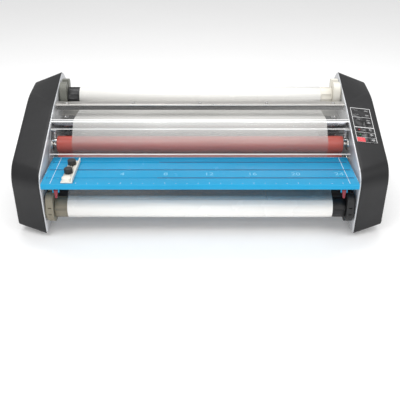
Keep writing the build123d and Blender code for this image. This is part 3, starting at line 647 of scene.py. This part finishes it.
icons = {
    "upper_key": [stroke(10.5, 7, 14, 11, 0.8), stroke(14, 11, 17.5, 7, 0.8),
                  stroke(10.5, 7, 17.5, 7, 0.8)],
    "heat_key": ring_marks((key_column, -18.5), 2.8, 0.8, 80),
    "run_key": [stroke(12, -39.5, 17.5, -36.5, 0.8), stroke(17.5, -36.5, 12, -33.5, 0.8),
                stroke(12, -33.5, 12, -39.5, 0.8)],
    "reverse_key": [stroke(16.5, -57.5, 11, -54.5, 0.8), stroke(11, -54.5, 16.5, -51.5, 0.8),
                    stroke(16.5, -51.5, 16.5, -57.5, 0.8), stroke(18.5, -57.5, 18.5, -51.5, 0.8)],
    "stop_key": [stroke(-17, -54.5, -12, -54.5, 0.9)],
}
for key, marks in icons.items():
    made = ink_white if key != "stop_key" else Surface("ink_pink", (0.8, 0.3, 0.32), 0.5).mottle(300, 0.1)
    printed(f"{key}_icon", marks, panel_place(1.4), made, f"{key}_cap", "white_plastic")

# ---- feed tray print: a squared grid, and a scale along the front edge ----

tray_low, tray_high = (Vector(corner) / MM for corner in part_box("feed_tray"))
tray_place = Matrix.Translation((0, 0, tray_high.z * MM))
tray_half = tray_high.x
grid_depths = (-222.0, -176.0, -130.0)
groove_ends = (-352.0, -100.0)
side_line = 342.0
print_half = 357.0

scale_zero, inch, scale_inches = -283.6, 25.4, 24
white_marks = [stroke(side * side_line, tray_low.y + 6, side * side_line, tray_high.y - 2, 0.8)
               for side in (-1, 1)]
for step in range(scale_inches + 1):
    x = scale_zero + step * inch
    reach = 7.0 if step % 4 == 0 else 3.5
    white_marks.append(stroke(x, tray_low.y + 5.5, x, tray_low.y + 5.5 + reach, 0.5))
printed("tray_print_white", white_marks, tray_place, ink_white, "tray", "white_plastic")

dark_marks = []
for depth in grid_depths:
    pieces = [(-print_half, print_half)]
    if depth != grid_depths[1]:
        pieces = [(-print_half, groove_ends[0] - 1), (groove_ends[1] + 1, print_half)]
    dark_marks += [stroke(x0, depth, x1, depth, 4.2) for x0, x1 in pieces]
printed("tray_print_dark", dark_marks, tray_place, ink_dark, "tray", "black_plastic")


def numeral(text, x, y, size):
    """A generic number of the scale, as thin raised ink."""
    curve = bpy.data.curves.new(f"numeral_{text}", "FONT")
    curve.body = text
    curve.size = size * MM
    curve.align_x = "CENTER"
    curve.extrude = 0.06 * MM
    holder = bpy.data.objects.new("numeral", curve)
    mesh = bpy.data.meshes.new_from_object(holder)
    mesh.transform(Matrix.Translation((x * MM, y * MM, (tray_high.z + 0.06) * MM)))
    bpy.data.objects.remove(holder)
    bpy.data.curves.remove(curve)
    return mesh


numerals = [numeral(str(step), scale_zero + step * inch, -207, 22)
            for step in range(4, scale_inches + 1, 4)]
parts = [([v.co.copy() for v in mesh.vertices], [tuple(p.vertices) for p in mesh.polygons])
         for mesh in numerals]
add_mesh("tray_numerals", *joined(parts), ink_blue, "tray", "white_plastic")

# ---- thermostat blocks above the ends of the upper heat roller ----


def cuboid(low, high):
    outline = outline_of([(low[0], low[1]), (high[0], low[1]), (high[0], high[1]), (low[0], high[1])])
    return prism(outline, (high[2] - low[2]) * MM, Matrix.Translation((0, 0, low[2] * MM)))


blocks = []
for side in (-1, 1):
    x0, x1 = sorted((side * 318, side * 341))
    blocks.append(cuboid((x0, -56, 211), (x1, -46, 217)))
    blocks.append(cuboid((x0 + 4, -53, 217), (x0 + 7, -50, 218.5)))
    blocks.append(cuboid((x1 - 7, -53, 217), (x1 - 4, -50, 218.5)))
    inner, outer = sorted((side * 340, side * 371))
    blocks.append(cuboid((inner, -53, 211.5), (outer, -48, 213)))
thermostats = add_mesh("thermostats", *joined(blocks), black, "machine", "black_plastic")
rounding = thermostats.modifiers.new("edge", "BEVEL")
rounding.width = 0.6 * MM
rounding.segments = 2

# ---- camera, lights and floor ----

camera_data = bpy.data.cameras.new("camera")
camera_data.lens = 63.0
camera_data.sensor_width = 36.0
camera_data.clip_end = 50.0
camera = bpy.data.objects.new("camera", camera_data)
camera.location = (0.0, -1.699, 0.838)
camera.rotation_euler = (math.radians(63.76), 0.0, 0.0)
bpy.context.scene.collection.objects.link(camera)
bpy.context.scene.camera = camera


def softbox(name, place, target, size, power):
    light = bpy.data.lights.new(name, "AREA")
    light.shape = "RECTANGLE"
    light.size, light.size_y = size
    light.energy = power
    holder = bpy.data.objects.new(name, light)
    holder.location = place
    holder.rotation_euler = (Vector(target) - Vector(place)).to_track_quat("-Z", "Y").to_euler()
    bpy.context.scene.collection.objects.link(holder)


softbox("key_light", (-0.9, -1.4, 2.1), (0, 0, 0.1), (1.6, 1.2), 22)
softbox("fill_light", (1.4, -1.2, 1.6), (0, 0, 0.1), (1.4, 1.4), 13)
softbox("top_light", (0.0, 0.5, 2.0), (0, 0, 0.15), (2.4, 0.5), 18)
softbox("front_light", (0.0, -2.2, 0.55), (0, 0, 0.14), (2.2, 0.5), 9)

world = bpy.data.worlds.new("studio")
bpy.context.scene.world = world
world.use_nodes = True
world.node_tree.nodes["Background"].inputs["Color"].default_value = (1, 1, 1, 1)
world.node_tree.nodes["Background"].inputs["Strength"].default_value = 0.6
bpy.context.scene.view_settings.view_transform = "Standard"

floor_size = 6.0
floor_mesh = bpy.data.meshes.new("floor")
floor_mesh.from_pydata([(x * floor_size, y * floor_size, 0.0) for x, y in ((-1, -1), (1, -1), (1, 1), (-1, 1))],
                       [], [(0, 1, 2, 3)])
floor_surface = Surface("floor_paper", (0.9, 0.9, 0.9), 0.7).mottle(2, 0.01).grain(60, 0.0002, 0.1)
floor_surface.set(Emission_Color=(1, 1, 1, 1), Emission_Strength=0.16)
floor_mesh.materials.append(floor_surface.material)
floor = bpy.data.objects.new("floor", floor_mesh)
bpy.context.scene.collection.objects.link(floor)
